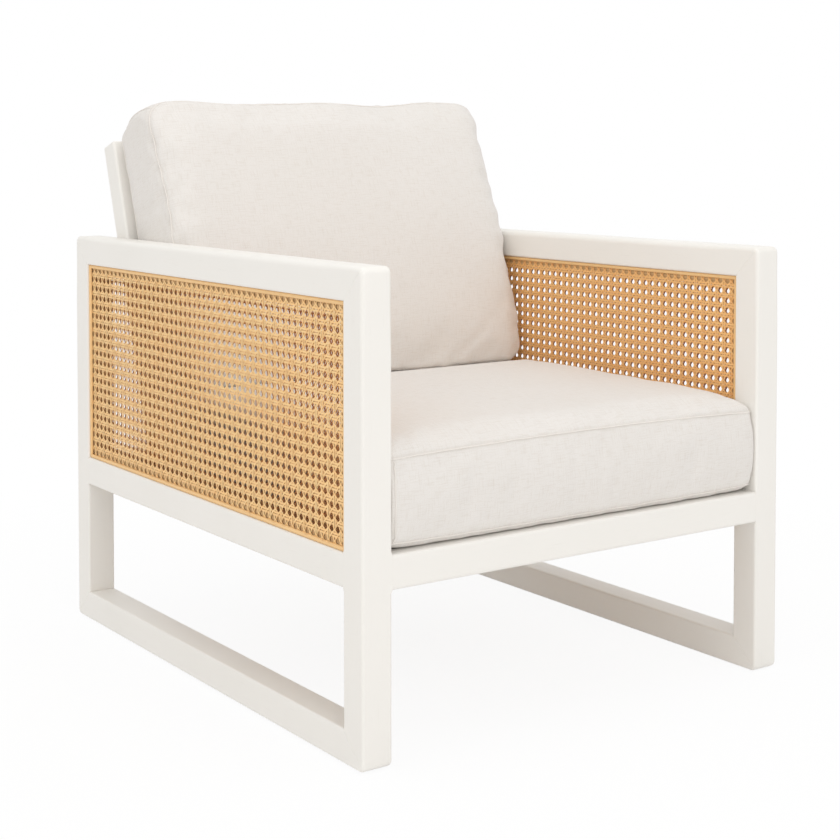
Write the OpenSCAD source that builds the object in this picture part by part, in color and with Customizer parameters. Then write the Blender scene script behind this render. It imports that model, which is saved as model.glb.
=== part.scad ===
// Lounge armchair: two mitred loop side frames with double cane panels, a slatted
// seat and a leaning slatted back between them, and two loose box cushions.
// Millimetres. +Z up, the sitter faces -Y, origin on the floor under the middle.

/* [Chair] */
// Width over the two side frames
chair_w = 740; // [680:10:840]
// Depth of the side frames
chair_d = 870; // [840:10:900]
// Height of the arm rests above the floor
arm_h = 634; // [610:4:670]
// Height of the seat rails' top above the floor
seat_rail_top = 271; // [250:3:300]

/* [Frame timber] */
// Side of the square stock of the frames and seat rails
stock = 45; // [40:1:50]
// Radius of the rounded long edges
edge_r = 5; // [2:0.5:8]
// Radius of the side frames' outer corners, seen from the side
corner_r = 9; // [6:1:14]

/* [Cane panels] */
// Width of the timber liner that carries the cane
liner_w = 14; // [10:1:18]
// Depth of the cane below the face of the frame
web_recess = 6; // [4:0.5:8]
// Thickness of the cane web
web_t = 2; // [1.5:0.5:3]
// Distance from one gap of the cane to the next
web_pitch = 30; // [28:1:40]
// Width across the flats of each eight-sided gap
web_gap = 21; // [12:1:24]
// Width of the half-round reed that borders the cane
reed_w = 6; // [4:0.5:7]
// Height of the half-round reed
reed_h = 3.5; // [3:0.5:4]

/* [Seat] */
// Number of seat slats
slat_count = 7; // [5:1:8]
// Width of a seat slat
slat_w = 58; // [45:1:65]
// Thickness of a seat slat
slat_t = 18; // [14:1:22]
// Width of the ledger that carries the slats
ledger_w = 25; // [20:1:32]

/* [Back] */
// Lean of the back from upright, in degrees
lean = 18.3; // [12:0.1:22]
// Depth of a back post, square to its length
post_d = 40; // [34:1:45]
// Length of a back post along its front face
post_l = 596; // [560:2:640]
// Distance from the posts' front face, at the rails' underside, to the rear legs
post_set = 193; // [180:1:210]
// Number of cross rails in the back
back_rail_count = 5; // [4:1:6]
// Height of a back rail
back_rail_h = 55; // [45:1:65]
// Thickness of a back rail
back_rail_t = 18; // [15:1:22]

/* [Cushions] */
// Clear space between the seat cushion and the feet of the back posts
seat_pad_gap = 7; // [2:1:15]
// Distance from the seat cushion's front to the front of the frame
seat_pad_inset = 1; // [0:1:10]
// Height of the seat cushion from its flat base to its top seam
seat_pad_h = 120; // [100:2:140]
// Rise of the seat cushion's crown above its seam
seat_crown = 18; // [10:1:24]
// Length of the back cushion along the lean, before its foot is pressed flat
back_pad_l = 482; // [450:2:520]
// Thickness of the back cushion at its seams
back_pad_t = 105; // [90:1:115]
// Rise of the back cushion's front crown
back_crown = 34; // [20:1:40]
// Clear space between each cushion's seams and the arms
pad_side_gap = 4; // [3:0.5:12]
// Drop of the seams' line towards the middle of each side
pull_in = 4; // [1:0.5:6]

/* [Fasteners] */
// Diameter of the joint dowels
dowel_d = 8; // [6:1:10]
// Length of the joint dowels
dowel_l = 36; // [30:2:40]
// Diameter of the bolts through the back posts
bolt_d = 6; // [5:1:8]
// Diameter of the nylon glides
glide_d = 25; // [18:1:30]
// Height of the nylon glides
glide_h = 2; // [1:0.5:4]

/* [Hidden] */
$fn = 48;
frame_white = [0.93, 0.92, 0.90];
cane_tan = [0.86, 0.66, 0.40];
linen = [0.92, 0.89, 0.85];
steel = [0.70, 0.70, 0.72];
beech = [0.80, 0.64, 0.45];
nylon = [0.85, 0.84, 0.82];

// Faces of the side frames, as distances from the middle of the chair
out_x = chair_w / 2;
in_x = out_x - stock;
half_d = chair_d / 2;
front_in_y = -half_d + stock;
rear_in_y = half_d - stock;
rail_under_z = seat_rail_top - stock;
post_foot_y = rear_in_y - post_set;
frame_h = arm_h - glide_h;
drill = 0.15;             // clearance round dowels, bolts and inserts
through = 1;              // how far a cutting shape runs past the face it cuts

// Panel opening above the middle rail
open_d = chair_d - 2 * stock;
open_h = arm_h - stock - seat_rail_top;
open_mid_z = seat_rail_top + open_h / 2;
outer_web_x = web_recess;
liner_x = web_recess + web_t;
liner_depth = stock - 2 * liner_x;
inner_web_x = stock - web_recess - web_t;
web_fit = 0.1;            // play between the web's edge and the opening
web_columns = floor((open_d - 2 * liner_w - web_gap) / web_pitch) + 1;
web_rows = floor((open_h - 2 * liner_w - web_gap) / web_pitch) + 1;
gap_turn = 22.5;          // turn that sets an eight-sided gap on its flats

// Seat deck
slat_play = 1;            // between a slat's end and the side frame
deck_gap = 6;             // from the end slats to the front rail and to the posts
deck_front_y = front_in_y + deck_gap;
deck_rear_y = post_foot_y - deck_gap;
slat_step = (deck_rear_y - deck_front_y - slat_w) / (slat_count - 1);
ledger_h = stock - slat_t;

// Back frame, in a frame that leans with the posts: z runs up the front face
post_w = stock;
post_in_x = in_x - post_w;
back_rail_low = 110;      // height of the lowest rail's middle along the post
back_rail_drop = 15;      // from the posts' top ends to the top rail
back_rail_high = post_l - back_rail_drop - back_rail_h / 2;
back_rail_step = (back_rail_high - back_rail_low) / (back_rail_count - 1);
bolt_head_d = 11;
bolt_gap = 2;             // from a bolt's head to the back rails' rear faces
bolt_y = back_rail_t + bolt_gap + bolt_head_d / 2;
arm_bolt_z = (arm_h - stock / 2 - rail_under_z) / cos(lean) + bolt_y * tan(lean);
foot_bolt_z = stock / 2 / cos(lean) + bolt_y * tan(lean);
bolt_pair = 9;            // half the distance between the two bolts of a joint
bolt_head_h = 5;
insert_d = 10;
insert_l = 18;
insert_inset = 2;

// Cushions
pad_rest = 0.3;           // air under each cushion
seat_pad_a = in_x - pad_side_gap;
seat_pad_front = -half_d + seat_pad_inset;
seat_pad_rear = post_foot_y + stock * tan(lean) - seat_pad_gap;
seat_pad_b = (seat_pad_rear - seat_pad_front) / 2;
seat_pad_y = (seat_pad_rear + seat_pad_front) / 2;
seat_pad_z = seat_rail_top + pad_rest;
seat_pad_seam = 4;        // height of the lower seam above the flat base
seat_pad_top = seat_pad_z + seat_pad_h + seat_crown;
back_rear_crown = 20;
back_pad_foot = 44;       // how far the cushion's form runs on below the seat's crown
back_pad_z = seat_pad_top + pad_rest;

// Timber and panel profiles

module rounded_section(w, h, r) {
    translate([r, 0]) square([w - 2 * r, h]);
    translate([0, r]) square([w, h - 2 * r]);
    for (x = [r, w - r], y = [r, h - r]) translate([x, y]) circle(r);
}

module bar_x(size, r)
    rotate([90, 0, 90]) linear_extrude(size[0]) rounded_section(size[1], size[2], r);
module bar_y(size, r)
    translate([0, size[1], 0]) rotate([90, 0, 0])
        linear_extrude(size[1]) rounded_section(size[0], size[2], r);
module bar_z(size, r) linear_extrude(size[2]) rounded_section(size[0], size[1], r);

// Everything on the right is the left one mirrored
module on_side(side) {
    if (side == "left") children();
    else mirror([1, 0, 0]) children();
}

// An outline drawn in the side view (y, z), from the left side's outer face inwards
module side_plate(points, depth = stock, start = 0)
    translate([-out_x + start, 0, 0]) rotate([90, 0, 90]) linear_extrude(depth) polygon(points);

module side_outline()
    translate([-out_x, -half_d, glide_h])
        rotate([90, 0, 90]) linear_extrude(stock) rounded_section(chair_d, frame_h, corner_r);

// Four-sided outlines that meet at 45 degrees: 0 top, 1 front, 2 bottom, 3 rear
function mitred(low, high, t, which) = let (
    a = [low[0], high[1]], b = [high[0], high[1]], c = [high[0], low[1]], d = [low[0], low[1]],
    ai = a + [t, -t], bi = b + [-t, -t], ci = c + [-t, t], di = d + [t, t])
    [[a, b, bi, ai], [a, ai, di, d], [d, di, ci, c], [b, c, ci, bi]][which];

loop_low = [-half_d, glide_h];
loop_high = [half_d, arm_h];
open_low = [front_in_y, seat_rail_top];
open_high = [rear_in_y, arm_h - stock];

// Fasteners: each is drawn once, and the holes are the same shapes made larger

module rod_between(p, direction, length, d) {
    tilt = acos(direction[2] / norm(direction));
    turn = atan2(direction[1], direction[0]);
    translate(p) rotate([0, tilt, turn]) cylinder(h = length, d = d, center = true);
}

// Two dowels across each of the four mitres of a side frame
module mitre_dowel_set(grow = 0) {
    mid = stock / 2;
    for (corner = [[-1, -1], [-1, 1], [1, -1], [1, 1]], dx = [-stock / 4, stock / 4]) {
        z = corner[1] > 0 ? arm_h - mid : glide_h + mid;
        rod_between([-out_x + mid + dx, corner[0] * (half_d - mid), z],
            [0, corner[0] * -corner[1], 1], dowel_l + 2 * grow, dowel_d + 2 * grow);
    }
}

// Two dowels at each end of the middle rail
module mid_dowel_set(grow = 0)
    for (y = [front_in_y, rear_in_y], dx = [-stock / 4, stock / 4])
        rod_between([-out_x + stock / 2 + dx, y, seat_rail_top - stock / 2],
            [0, 1, 0], dowel_l + 2 * grow, dowel_d + 2 * grow);

// Two dowels from each seat rail into this side's leg, near the leg's outer face
seat_dowel_inset = dowel_l / 2 + dowel_d / 2 + 1;
module seat_dowel_set(grow = 0)
    for (y = [front_in_y - seat_dowel_inset, rear_in_y + seat_dowel_inset],
         dz = [-stock / 4, stock / 4])
        rod_between([-in_x, y, seat_rail_top - stock / 2 + dz],
            [1, 0, 0], dowel_l + 2 * grow, dowel_d + 2 * grow);

// Carries its children into the leaning frame of the back posts
module leaning() translate([0, post_foot_y, rail_under_z]) rotate([-lean, 0, 0]) children();

function back_rail_z(i) = back_rail_low + (i - 1) * back_rail_step;

back_dowel_d = 6;
back_dowel_l = 30;
module back_dowel_set(grow = 0)
    leaning() for (i = [1 : back_rail_count], dz = [-back_rail_h / 4, back_rail_h / 4])
        rod_between([-post_in_x, back_rail_t / 2, back_rail_z(i) + dz],
            [1, 0, 0], back_dowel_l + 2 * grow, back_dowel_d + 2 * grow);

// Where the bolts pass from a post into the side frame, in the leaning frame
bolt_places = [for (z = [foot_bolt_z, arm_bolt_z], dz = [-bolt_pair, bolt_pair])
    [bolt_y, z + dz]];

// A bolt's head lies flush in the post's inner face; a hole runs out past it
module post_bolt_set(grow = 0, run_out = 0)
    leaning() for (p = bolt_places) translate([-post_in_x, p[0], p[1]]) rotate([0, -90, 0]) {
        translate([0, 0, -run_out])
            cylinder(h = bolt_head_h + run_out, d = bolt_head_d + 2 * grow);
        cylinder(h = post_w + insert_l - insert_inset, d = bolt_d + 2 * grow);
    }

module insert_set(grow = 0)
    leaning() for (p = bolt_places) translate([-in_x - insert_inset, p[0], p[1]]) rotate([0, -90, 0])
        cylinder(h = insert_l + grow, d = insert_d + 2 * grow);

// The hole in the frame's face that leads to each insert
module insert_bores() {
    insert_set(drill);
    leaning() for (p = bolt_places) translate([-in_x + through, p[0], p[1]]) rotate([0, -90, 0])
        cylinder(h = through + insert_inset + 1, d = insert_d + 2 * drill);
}

// A countersunk screw that stands head up at the origin, with its point at -length
module wood_screw(d, length, grow = 0) {
    head_r = d + grow;
    cone_h = d / 2;
    translate([0, 0, -cone_h]) cylinder(h = cone_h, r1 = d / 2 + grow, r2 = head_r);
    translate([0, 0, -length - grow]) cylinder(h = length + grow - cone_h, d = d + 2 * grow);
    if (grow > 0) cylinder(h = through, r = head_r);
}

ledger_screw_count = 4;
ledger_screw_d = 5;
ledger_screw_l = 48;
ledger_gap = 2;           // from the ledger's rear end to the post
ledger_rear_y = post_foot_y - ledger_gap;
ledger_screw_step = (ledger_rear_y - front_in_y) / ledger_screw_count;
module ledger_screw_set(grow = 0)
    for (i = [0.5 : ledger_screw_count - 0.5])
        translate([-in_x + ledger_w, front_in_y + i * ledger_screw_step,
                   rail_under_z + ledger_h / 4])
            rotate([0, 90, 0]) wood_screw(ledger_screw_d, ledger_screw_l, grow);

slat_screw_d = 4;
slat_screw_l = slat_t + ledger_h / 2;
function slat_y(i) = deck_front_y + slat_w / 2 + (i - 1) * slat_step;
module slat_screw_set(grow = 0)
    for (i = [1 : slat_count])
        translate([-in_x + ledger_w / 2, slat_y(i), seat_rail_top])
            wood_screw(slat_screw_d, slat_screw_l, grow);

liner_screw_d = 4;
liner_screw_l = 30;
liner_screw_y = [-open_d / 3, 0, open_d / 3];
module liner_screw_set(grow = 0)
    for (y = liner_screw_y, up = [-1, 1])
        translate([-out_x + stock / 2, y, open_mid_z + up * (open_h / 2 - liner_w)])
            rotate([up > 0 ? 180 : 0, 0, 0]) wood_screw(liner_screw_d, liner_screw_l, grow);

glide_inset = 70;
module glide_set()
    for (y = [-half_d + glide_inset, half_d - glide_inset])
        translate([-out_x + stock / 2, y, 0]) cylinder(h = glide_h, d = glide_d);

// Left side frame

module arm_rail(side) color(frame_white) on_side(side) difference() {
    intersection() {
        side_plate(mitred(loop_low, loop_high, stock, 0));
        side_outline();
        translate([-out_x, -half_d, arm_h - stock]) bar_y([stock, chair_d, stock], edge_r);
    }
    mitre_dowel_set(drill);
    insert_bores();
    liner_screw_set(drill);
}

module base_rail(side) color(frame_white) on_side(side) difference() {
    intersection() {
        side_plate(mitred(loop_low, loop_high, stock, 2));
        side_outline();
        translate([-out_x, -half_d, glide_h]) bar_y([stock, chair_d, stock], edge_r);
    }
    mitre_dowel_set(drill);
}

module leg(side, which, y) color(frame_white) on_side(side) difference() {
    intersection() {
        side_plate(mitred(loop_low, loop_high, stock, which));
        side_outline();
        translate([-out_x, y, glide_h]) bar_z([stock, stock, frame_h], edge_r);
    }
    mitre_dowel_set(drill);
    mid_dowel_set(drill);
    seat_dowel_set(drill);
}

module mid_rail(side) color(frame_white) on_side(side) difference() {
    translate([-out_x, front_in_y, rail_under_z]) bar_y([stock, open_d, stock], edge_r);
    mid_dowel_set(drill);
    insert_bores();
    ledger_screw_set(drill);
    liner_screw_set(drill);
}

// Cane panel: a timber liner with a web on both faces, each bordered by split reed

module liner(side, which) color(beech) on_side(side) difference() {
    side_plate(mitred(open_low, open_high, liner_w, which), liner_depth, liner_x);
    if (which == 0 || which == 2) liner_screw_set(drill);
}

module cane_web(side, start) color(cane_tan) on_side(side) difference() {
    translate([-out_x + start, front_in_y + web_fit, seat_rail_top + web_fit])
        cube([web_t, open_d - 2 * web_fit, open_h - 2 * web_fit]);
    for (i = [0 : web_columns - 1], j = [0 : web_rows - 1])
        translate([-out_x + start - through,
                   (i - (web_columns - 1) / 2) * web_pitch,
                   open_mid_z + (j - (web_rows - 1) / 2) * web_pitch])
            rotate([0, 90, 0]) rotate(gap_turn)
                cylinder(h = web_t + 2 * through, d = web_gap / cos(gap_turn), $fn = 8);
}

// Half-round reed as a section: flat side on x = 0, standing towards -x
module reed_section() {
    r = reed_w / 2;
    translate([-(reed_h - r), 0]) square([reed_h - r, reed_w]);
    intersection() {
        translate([-(reed_h - r), r]) circle(r);
        translate([-reed_h, 0]) square([reed_h, reed_w]);
    }
}

// One length of reed along y or z, cut at 45 degrees where it meets the next
module reed_strip(which, face, flip) intersection() {
    side_plate(mitred(open_low, open_high, reed_w, which), reed_h, flip ? face : face - reed_h);
    translate([-out_x + face, 0, 0]) mirror([flip ? 1 : 0, 0, 0])
        if (which == 0 || which == 2) {
            translate([0, rear_in_y, which == 0 ? open_high[1] - reed_w : open_low[1]])
                rotate([90, 0, 0]) linear_extrude(open_d) reed_section();
        } else {
            translate([0, which == 1 ? front_in_y : rear_in_y - reed_w, seat_rail_top])
                linear_extrude(open_h) reed_section();
        }
}

module reed_border(side, face, flip) color(cane_tan) on_side(side)
    for (which = [0 : 3]) reed_strip(which, face, flip);

// Seat

module seat_rail(y) color(frame_white) difference() {
    translate([-in_x, y, rail_under_z]) bar_x([2 * in_x, stock, stock], edge_r);
    for (side = ["left", "right"]) on_side(side) seat_dowel_set(drill);
}

module ledger(side) color(beech) on_side(side) difference() {
    translate([-in_x, front_in_y, rail_under_z])
        cube([ledger_w, ledger_rear_y - front_in_y, ledger_h]);
    ledger_screw_set(drill);
    slat_screw_set(drill);
}

module seat_slat(i) color(beech) difference() {
    translate([-in_x + slat_play, slat_y(i) - slat_w / 2, seat_rail_top - slat_t])
        bar_x([2 * (in_x - slat_play), slat_w, slat_t], slat_t / 4);
    for (side = ["left", "right"]) on_side(side) slat_screw_set(drill);
}

// Back

module back_post(side) color(frame_white) on_side(side) difference() {
    intersection() {
        leaning() translate([-in_x, 0, -stock]) bar_z([post_w, post_d, post_l + stock], edge_r);
        translate([-in_x, 0, rail_under_z]) cube([post_w, chair_d, post_l]);
    }
    back_dowel_set(drill);
    post_bolt_set(drill, through);
}

module back_rail(i) color(frame_white) difference() {
    leaning() translate([-post_in_x, 0, back_rail_z(i) - back_rail_h / 2])
        bar_x([2 * post_in_x, back_rail_t, back_rail_h], back_rail_t / 4);
    for (side = ["left", "right"]) on_side(side) back_dowel_set(drill);
}

// Cushions: rings of points climb from the base, round the sides and over the crown

side_points = 9;
corner_points = 4;
pad_corner_r = 22;
pad_bulge = 5;            // how far the sides swell between the two seams
side_shares = [0, 0.12, 0.3, 0.5, 0.7, 0.88, 1];
crown_shares = [0.02, 0.06, 0.13, 0.25, 0.42, 0.62, 0.8, 0.93];
crown_reach = 0.97;       // how far the last ring draws in towards the middle
crown_corner = 0.5;       // growth of a crown ring's corners as it draws in

// One quarter of a rounded rectangle, corner first, then along the next side
function pad_corner(a, b, r, turn) = let (
    swap = turn % 2 == 1,
    u = swap ? b : a,
    v = swap ? a : b,
    arc = [for (k = [0 : corner_points]) let (t = 90 * k / corner_points)
        [u - r + r * cos(t), v - r + r * sin(t)]],
    run = [for (k = [1 : side_points - 1]) [(u - r) * (1 - 2 * k / side_points), v]])
    [for (p = concat(arc, run)) [p[0] * cos(90 * turn) - p[1] * sin(90 * turn),
                                 p[0] * sin(90 * turn) + p[1] * cos(90 * turn)]];

// A full ring at height z whose sides draw in between the corners
function pad_ring(a, b, r, pull, z) = [for (turn = [0 : 3], p = pad_corner(a, b, r, turn))
    [p[0] * (1 - pull / a * (1 - pow(p[1] / b, 2))),
     p[1] * (1 - pull / b * (1 - pow(p[0] / a, 2))),
     z]];

// Height of the crown at a share s of the way from seam to middle
function crown_rise(s, height) = height * sqrt(1 - pow(1 - s, 4));

module closed_rings(rings) {
    n = len(rings[0]);
    m = len(rings);
    walls = [for (k = [0 : m - 2], i = [0 : n - 1]) let (
        j = (i + 1) % n,
        low = k * n,
        high = low + n)
        each [[low + i, high + i, high + j], [low + i, high + j, low + j]]];
    polyhedron(
        points = [for (ring = rings) each ring],
        faces = concat(
            [[for (i = [0 : n - 1]) i]],
            walls,
            [[for (i = [n - 1 : -1 : 0]) (m - 1) * n + i]]));
}

// Box cushion, middle at the origin: half sizes a and b at its bulge, seams at
// low and high, crowns below and above them (a crown of 0 leaves a flat base)
module box_cushion(a, b, low, high, crown_low, crown_high) {
    a_seam = a - pad_bulge;
    b_seam = b - pad_bulge;
    reach = min(a_seam, b_seam);
    function cap(s, z) = let (
        inset = s * reach * crown_reach,
        r = min(pad_corner_r + inset * crown_corner, reach - inset))
        pad_ring(a_seam - inset, b_seam - inset, r, pull_in * (1 - s), z);
    function side(t) = let (out = pad_bulge * (1 - pow(2 * t - 1, 2)))
        pad_ring(a_seam + out, b_seam + out, pad_corner_r, pull_in, low + t * (high - low));
    last = len(crown_shares) - 1;
    base = crown_low > 0
        ? [for (k = [last : -1 : 0]) cap(crown_shares[k], low - crown_rise(crown_shares[k], crown_low))]
        : [cap(crown_shares[0], 0)];
    top = [for (s = crown_shares) cap(s, high + crown_rise(s, crown_high))];
    closed_rings(concat(base, [for (t = side_shares) side(t)], top));
}

module seat_cushion() color(linen)
    translate([0, seat_pad_y, seat_pad_z])
        box_cushion(seat_pad_a, seat_pad_b, seat_pad_seam, seat_pad_h, 0, seat_crown);

// The back cushion leans on the rails, and its foot is pressed flat by the seat
module back_cushion() color(linen) difference() {
    translate([0, post_foot_y + (back_pad_z - rail_under_z) * tan(lean), back_pad_z])
        rotate([90 - lean, 0, 0]) translate([0, back_pad_l / 2 - back_pad_foot, pad_rest])
            box_cushion(seat_pad_a, back_pad_l / 2, back_rear_crown,
                back_rear_crown + back_pad_t, back_rear_crown, back_crown);
    translate([-chair_w / 2, -chair_d / 2, back_pad_z - chair_d]) cube([chair_w, chair_d, chair_d]);
}

// Fastener groups, both sides

module both_sides() for (side = ["left", "right"]) on_side(side) children();

module mitre_dowels() color(beech) both_sides() mitre_dowel_set();
module mid_rail_dowels() color(beech) both_sides() mid_dowel_set();
module seat_rail_dowels() color(beech) both_sides() seat_dowel_set();
module back_rail_dowels() color(beech) both_sides() back_dowel_set();
module post_bolts() color(steel) both_sides() post_bolt_set();
module bolt_inserts() color(steel) both_sides() difference() {
    insert_set();
    post_bolt_set(drill / 2);
}
module ledger_screws() color(steel) both_sides() ledger_screw_set();
module slat_screws() color(steel) both_sides() slat_screw_set();
module liner_screws() color(steel) both_sides() liner_screw_set();
module foot_glides() color(nylon) both_sides() glide_set();

for (side = ["left", "right"]) {
    arm_rail(side);
    leg(side, 1, -half_d);
    leg(side, 3, rear_in_y);
    base_rail(side);
    mid_rail(side);
    liner(side, 0);
    liner(side, 1);
    liner(side, 2);
    liner(side, 3);
    cane_web(side, outer_web_x);
    cane_web(side, inner_web_x);
    reed_border(side, outer_web_x, false);
    reed_border(side, inner_web_x + web_t, true);
    ledger(side);
    back_post(side);
}
seat_rail(-half_d);  // front_seat_rail
seat_rail(rear_in_y);  // rear_seat_rail
for (i = [1 : slat_count]) seat_slat(i);
for (i = [1 : back_rail_count]) back_rail(i);
seat_cushion();
back_cushion();
mitre_dowels();
mid_rail_dowels();
seat_rail_dowels();
back_rail_dowels();
post_bolts();
bolt_inserts();
ledger_screws();
slat_screws();
liner_screws();
foot_glides();
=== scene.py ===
# %% [markdown]
# A lounge chair with two square loop side frames in off-white lacquer, a panel of woven
# cane on both faces of each arm, and two linen box cushions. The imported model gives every
# solid its place. This lesson keeps the hidden timber and the fasteners, and builds the
# pieces that are seen again with softer edges, a real weave and real cloth.

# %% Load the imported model
import math

import bmesh
import bpy
import numpy as np
from mathutils import Matrix, Vector
from mathutils.bvhtree import BVHTree


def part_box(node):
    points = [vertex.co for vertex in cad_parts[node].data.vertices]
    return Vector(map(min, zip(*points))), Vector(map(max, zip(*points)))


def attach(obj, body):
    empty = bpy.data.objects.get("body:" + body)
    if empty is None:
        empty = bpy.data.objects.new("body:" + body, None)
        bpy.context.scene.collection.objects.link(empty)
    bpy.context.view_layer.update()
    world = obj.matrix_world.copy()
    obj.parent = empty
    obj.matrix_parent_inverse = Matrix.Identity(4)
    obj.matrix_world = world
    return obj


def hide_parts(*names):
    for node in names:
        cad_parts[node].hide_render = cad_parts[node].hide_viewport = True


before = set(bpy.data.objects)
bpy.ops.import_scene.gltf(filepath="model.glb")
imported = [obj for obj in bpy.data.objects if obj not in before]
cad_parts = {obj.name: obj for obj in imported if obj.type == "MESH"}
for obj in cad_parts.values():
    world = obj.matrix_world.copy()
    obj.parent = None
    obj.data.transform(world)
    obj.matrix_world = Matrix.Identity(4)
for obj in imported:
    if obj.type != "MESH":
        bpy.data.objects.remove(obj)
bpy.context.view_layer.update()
SIDES = {"left": -1, "right": 1}
MM = 0.001

# %% [markdown]
# The camera stands in front of the chair and to its left, a little above the arms, and
# looks slightly down. Its lens shift stands for the cropping of the picture: the horizon
# is high in the frame, and yet the legs stay nearly parallel. Tilting the camera instead
# would make the legs lean towards each other.

# %% Camera
FOCAL_SHARE = 1641.5 / 840        # focal length as a share of the picture's width
HORIZON_SHIFT = (210.43 - 420) / 840
camera_data = bpy.data.cameras.new("camera")
camera_data.sensor_width = 36
camera_data.lens = camera_data.sensor_width * FOCAL_SHARE
camera_data.shift_y = HORIZON_SHIFT
camera = bpy.data.objects.new("camera", camera_data)
camera.location = (-1.4694, -2.1206, 0.7822)
camera.rotation_euler = (math.pi / 2 - 0.0388, 0, -0.6133)
bpy.context.scene.collection.objects.link(camera)
bpy.context.scene.camera = camera
print("camera lens", round(camera_data.lens, 2), "mm")

# %% [markdown]
# Materials and Geometry Nodes are both trees of nodes, and most of what they hold is
# plain arithmetic. So one class wraps a socket, and Python's own operators add the Math
# nodes. A second class adds every other node: its settings first, then its sockets.

# %% Helpers for node trees
class Wire:
    """A node's output. Arithmetic on it adds Math nodes to its tree."""

    def __init__(self, socket):
        self.socket = socket

    def math(self, operation, *terms):
        graph = Graph(self.socket.id_data)
        made = graph.add("ShaderNodeMath", {"operation": operation})
        for socket, term in zip(made.inputs, terms):
            graph.feed(socket, term)
        return Wire(made.outputs[0])

    def __add__(self, other): return self.math("ADD", self, other)
    def __radd__(self, other): return self.math("ADD", other, self)
    def __sub__(self, other): return self.math("SUBTRACT", self, other)
    def __rsub__(self, other): return self.math("SUBTRACT", other, self)
    def __mul__(self, other): return self.math("MULTIPLY", self, other)
    def __rmul__(self, other): return self.math("MULTIPLY", other, self)
    def __truediv__(self, other): return self.math("DIVIDE", self, other)
    def __rtruediv__(self, other): return self.math("DIVIDE", other, self)
    def __pow__(self, other): return self.math("POWER", self, other)
    def __mod__(self, other): return self.math("FLOORED_MODULO", self, other)
    def __neg__(self): return self.math("MULTIPLY", self, -1)
    def __abs__(self): return self.math("ABSOLUTE", self)
    def sine(self): return self.math("SINE", self)
    def cosine(self): return self.math("COSINE", self)
    def floor(self): return self.math("FLOOR", self)
    def least(self, other): return self.math("MINIMUM", self, other)
    def most(self, other): return self.math("MAXIMUM", self, other)
    def above(self, other): return self.math("GREATER_THAN", self, other)


class Graph:
    """A node tree in the making: a material's, or a piece's Geometry Nodes."""

    def __init__(self, tree):
        self.tree = tree

    def feed(self, socket, value):
        if isinstance(value, Wire):
            self.tree.links.new(value.socket, socket)
        else:
            socket.default_value = value

    def add(self, kind, settings=None, sockets=None):
        """Adds a node. settings go on the node first, then values or links on its sockets."""
        node = self.tree.nodes.new(kind)
        for name, value in (settings or {}).items():
            setattr(node, name, value)
        for name, value in (sockets or {}).items():
            found = [s for s in node.inputs if name in (s.identifier, s.name) and s.enabled]
            self.feed(found[0], value)
        return node

    def wire(self, kind, settings=None, sockets=None, out=None):
        """Adds a node and returns its first output in use, or the one that out names."""
        outputs = self.add(kind, settings, sockets).outputs
        return Wire(outputs[out] if out else [s for s in outputs if s.enabled][0])

    def blend(self, share, first, second):
        """Mixes two colours."""
        return self.wire("ShaderNodeMix", {"data_type": "RGBA"},
                         {"Factor_Float": share, "A_Color": first, "B_Color": second})

    def place(self):
        """Where a point lies on its object, in metres."""
        return self.wire("ShaderNodeTexCoord", None, None, "Object")

    def stored(self, name):
        """A number that is stored on the mesh, for use in a material."""
        return self.wire("ShaderNodeAttribute", {"attribute_name": name}, None, "Fac")

    def bump(self, strength, distance, height):
        return self.wire("ShaderNodeBump", None,
                         {"Strength": strength, "Distance": distance, "Height": height})

    def vector(self, x, y, z):
        return self.wire("ShaderNodeCombineXYZ", None, {"X": x, "Y": y, "Z": z})

    def parts(self, vector):
        node = self.add("ShaderNodeSeparateXYZ", None, {"Vector": vector})
        return [Wire(socket) for socket in node.outputs]

    def join(self, pieces):
        """Joins pieces of geometry."""
        node = self.add("GeometryNodeJoinGeometry")
        for piece in pieces:
            self.tree.links.new(piece.socket, node.inputs[0])
        return Wire(node.outputs[0])

    def give(self, geometry, material):
        """Puts a material on the geometry and hands it to the tree's output."""
        self.add("NodeGroupOutput", None, {"Geometry": self.wire(
            "GeometryNodeSetMaterial", None, {"Geometry": geometry, "Material": material})})


def colour(red, green, blue):
    """A screen colour from 0 to 255 as the linear light that a shader wants."""
    linear = [v / 12.92 if v <= 0.04045 else ((v + 0.055) / 1.055) ** 2.4
              for v in (red / 255, green / 255, blue / 255)]
    return (*linear, 1)


def finish(name, recipe, **fixed):
    """A material. fixed holds the shader's constants, and recipe(graph) returns what varies."""
    material = bpy.data.materials.new(name)
    material.use_nodes = True
    graph = Graph(material.node_tree)
    shader = material.node_tree.nodes["Principled BSDF"]
    for socket, value in fixed.items():
        shader.inputs[socket.replace("_", " ")].default_value = value
    for socket, value in recipe(graph).items():
        graph.feed(shader.inputs[socket], value)
    print("finish", name, "with", len(material.node_tree.nodes), "nodes")
    return material


print("node helpers ready")

# %% [markdown]
# The frame is hardwood under a sprayed off-white lacquer. Up close such a coat isn't
# perfectly even: it sinks a little into the pores, which run along each member, and its
# gloss drifts. The pores are one noise that is stretched along the member, so there is
# one material for each direction. The variation stays faint, because the coat hides it.

# %% Lacquer on the frame
LEAN = math.radians(18.3)         # of the back
STRETCH = 0.06                    # squeeze of the coordinate along the grain


def stretched_place(graph, along, lean=0.0):
    """Object coordinates with the direction along a member squeezed, so a noise runs with it."""
    squeeze = [STRETCH if axis == along else 1 for axis in "xyz"]
    leant = graph.wire("ShaderNodeMapping", None,
                       {"Vector": graph.place(), "Rotation": (lean, 0, 0)})
    return graph.wire("ShaderNodeMapping", None, {"Vector": leant, "Scale": squeeze})


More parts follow.
